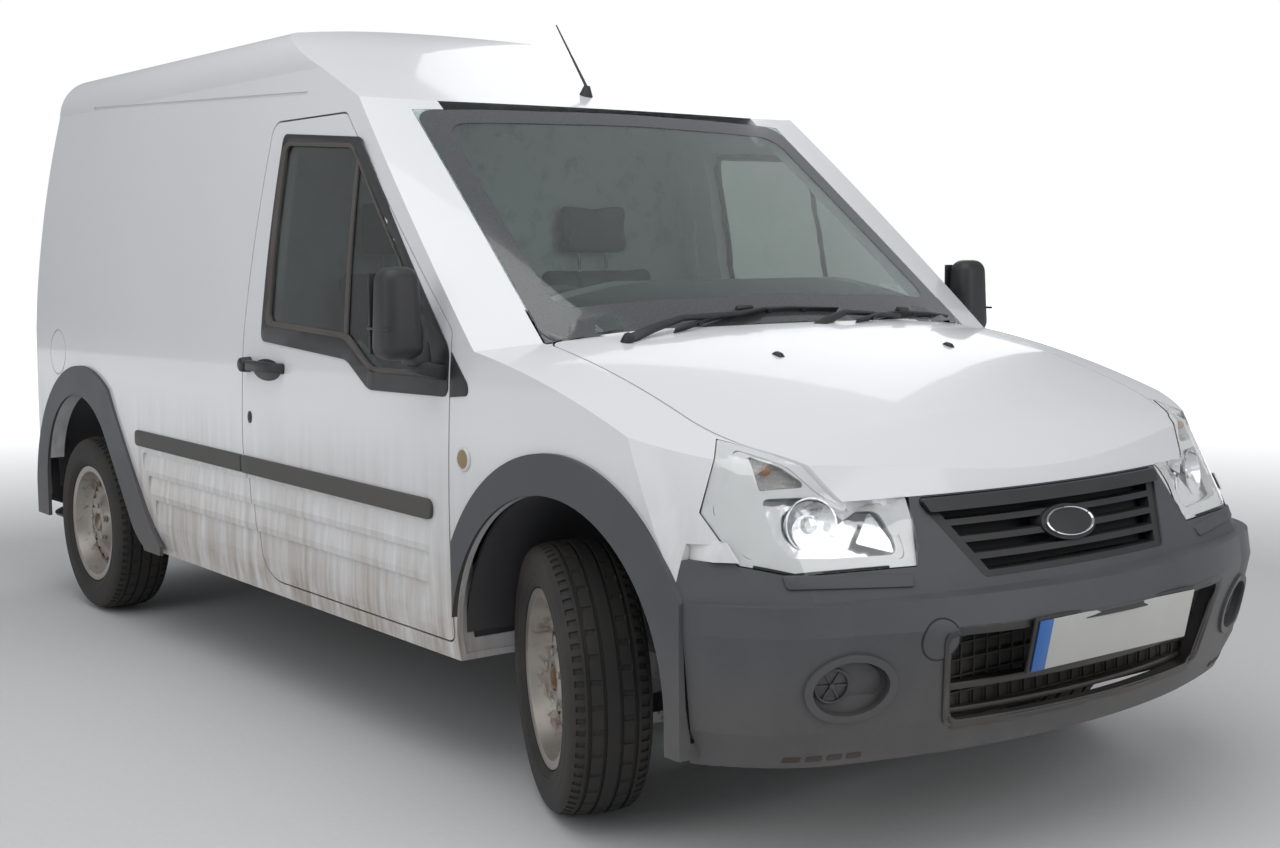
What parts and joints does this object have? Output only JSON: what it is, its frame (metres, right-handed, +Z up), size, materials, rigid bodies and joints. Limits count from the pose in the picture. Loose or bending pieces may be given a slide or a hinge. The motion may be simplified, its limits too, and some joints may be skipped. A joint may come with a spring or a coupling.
{
  "type": "panel van",
  "caption": "High-roof panel van with steered front wheels, hinged cab and rear doors, opening bonnet and fuel flap, and a hollow load space.",
  "frame": {"origin": "on the ground, under the middle of the overall length and width", "axes": "+X forward, +Y to the vehicle's left, +Z up"},
  "size_m": [4.5248, 2.092, 1.9798],
  "materials": {
    "white_paint": "gloss, road dirt low down",
    "underseal": "matt underbody coating",
    "trim_plastic": "grained dark grey plastic",
    "black_plastic": "black plastic",
    "glass": "tinted safety glass",
    "lamp_clear": "clear lamp cover over bright reflectors",
    "lamp_red": "red lamp lens",
    "tyre": "worn black tyre",
    "wheel_steel": "silver paint with rust",
    "cast": "bare cast iron",
    "steel": "weathered steel",
    "seat_cloth": "dark seat cloth"
  },
  "bodies": {
    "chassis": {"underbody": "underseal", "side_panel_right": "white_paint", "side_panel_left": "white_paint", "sliding_door": "white_paint", "roof": "white_paint", "windscreen": "glass", "cowl": "black_plastic", "front_wings": "white_paint", "front_bumper": "trim_plastic", "grille": "black_plastic", "headlamps": "lamp_clear", "tail_lamps": "lamp_red", "rear_bumper": "trim_plastic", "arch_flares": "trim_plastic", "aerial": "black_plastic", "seats": "seat_cloth", "dashboard": "black_plastic", "bulkhead": "white_paint", "engine_block": "cast", "front_suspension": "underseal", "rear_axle": "underseal", "fuel_tank": "black_plastic", "exhaust": "steel"},
    "bonnet": {"bonnet": "white_paint"},
    "front_door_right": {"front_door_right": "white_paint", "door_glass_right": "glass", "mirror_right": "black_plastic"},
    "front_door_left": {"front_door_left": "white_paint", "door_glass_left": "glass", "mirror_left": "black_plastic"},
    "rear_door_right": {"rear_door_right": "white_paint"},
    "rear_door_left": {"rear_door_left": "white_paint"},
    "fuel_flap": {"fuel_flap": "white_paint"},
    "steering_wheel": {"steering_wheel": "black_plastic"},
    "knuckle_right": {"knuckle_right": "cast"},
    "knuckle_left": {"knuckle_left": "cast"},
    "wheel_front_right": {"tyre_front_right": "tyre", "rim_front_right": "wheel_steel"},
    "wheel_front_left": {"tyre_front_left": "tyre", "rim_front_left": "wheel_steel"},
    "wheel_rear_right": {"tyre_rear_right": "tyre", "rim_rear_right": "wheel_steel"},
    "wheel_rear_left": {"tyre_rear_left": "tyre", "rim_rear_left": "wheel_steel"}
  },
  "joints": [
    {"name": "steer_right", "type": "hinge", "parent": "chassis", "child": "knuckle_right", "pos_m": [1.3625, -0.69, 0.205], "axis": [-0.0162, 0.1861, 0.9824], "range_deg": [-13, 57]},
    {"name": "steer_left", "type": "hinge", "parent": "chassis", "child": "knuckle_left", "pos_m": [1.3625, 0.69, 0.205], "axis": [-0.0162, -0.1861, 0.9824], "range_deg": [-13, 57]},
    {"name": "spin_front_right", "type": "hinge", "parent": "knuckle_right", "child": "wheel_front_right", "pos_m": [1.33193, -0.74733, 0.31052], "axis": [0.3678, 0.9297, 0.0194], "continuous": true},
    {"name": "spin_front_left", "type": "hinge", "parent": "knuckle_left", "child": "wheel_front_left", "pos_m": [1.39285, 0.74603, 0.31128], "axis": [0.3682, 0.9297, -0.0073], "continuous": true},
    {"name": "spin_rear_right", "type": "hinge", "parent": "chassis", "child": "wheel_rear_right", "pos_m": [-1.5495, -0.776, 0.312], "axis": [0, 1, 0], "continuous": true},
    {"name": "spin_rear_left", "type": "hinge", "parent": "chassis", "child": "wheel_rear_left", "pos_m": [-1.5495, 0.776, 0.312], "axis": [0, 1, 0], "continuous": true},
    {"name": "steering_wheel_turn", "type": "hinge", "parent": "chassis", "child": "steering_wheel", "pos_m": [0.64, -0.365, 1.01], "axis": [-0.9063, 0, 0.4226], "range_deg": [-195, 855]},
    {"name": "front_door_right_hinge", "type": "hinge", "parent": "chassis", "child": "front_door_right", "pos_m": [1.0025, -0.8896, 0.7], "axis": [0, 0, 1], "range_deg": [0, 65]},
    {"name": "front_door_left_hinge", "type": "hinge", "parent": "chassis", "child": "front_door_left", "pos_m": [1.0025, 0.8896, 0.7], "axis": [0, 0, -1], "range_deg": [0, 65]},
    {"name": "bonnet_hinge", "type": "hinge", "parent": "chassis", "child": "bonnet", "pos_m": [1.163, 0, 1.08], "axis": [0, -1, 0], "range_deg": [0, 55]},
    {"name": "rear_door_right_hinge", "type": "hinge", "parent": "chassis", "child": "rear_door_right", "pos_m": [-2.138, -0.6965, 1], "axis": [0, 0, 1], "range_deg": [0, 90]},
    {"name": "rear_door_left_hinge", "type": "hinge", "parent": "chassis", "child": "rear_door_left", "pos_m": [-2.138, 0.6965, 1], "axis": [0, 0, -1], "range_deg": [0, 90]},
    {"name": "fuel_flap_hinge", "type": "hinge", "parent": "chassis", "child": "fuel_flap", "pos_m": [-1.692, -0.887, 0.92], "axis": [0, 0, 1], "range_deg": [0, 85]}
  ],
  "couplings": [
    {"joint": "steer_left", "follows": "steer_right", "ratio": 1},
    {"joint": "steering_wheel_turn", "follows": "steer_right", "ratio": 15}
  ]
}
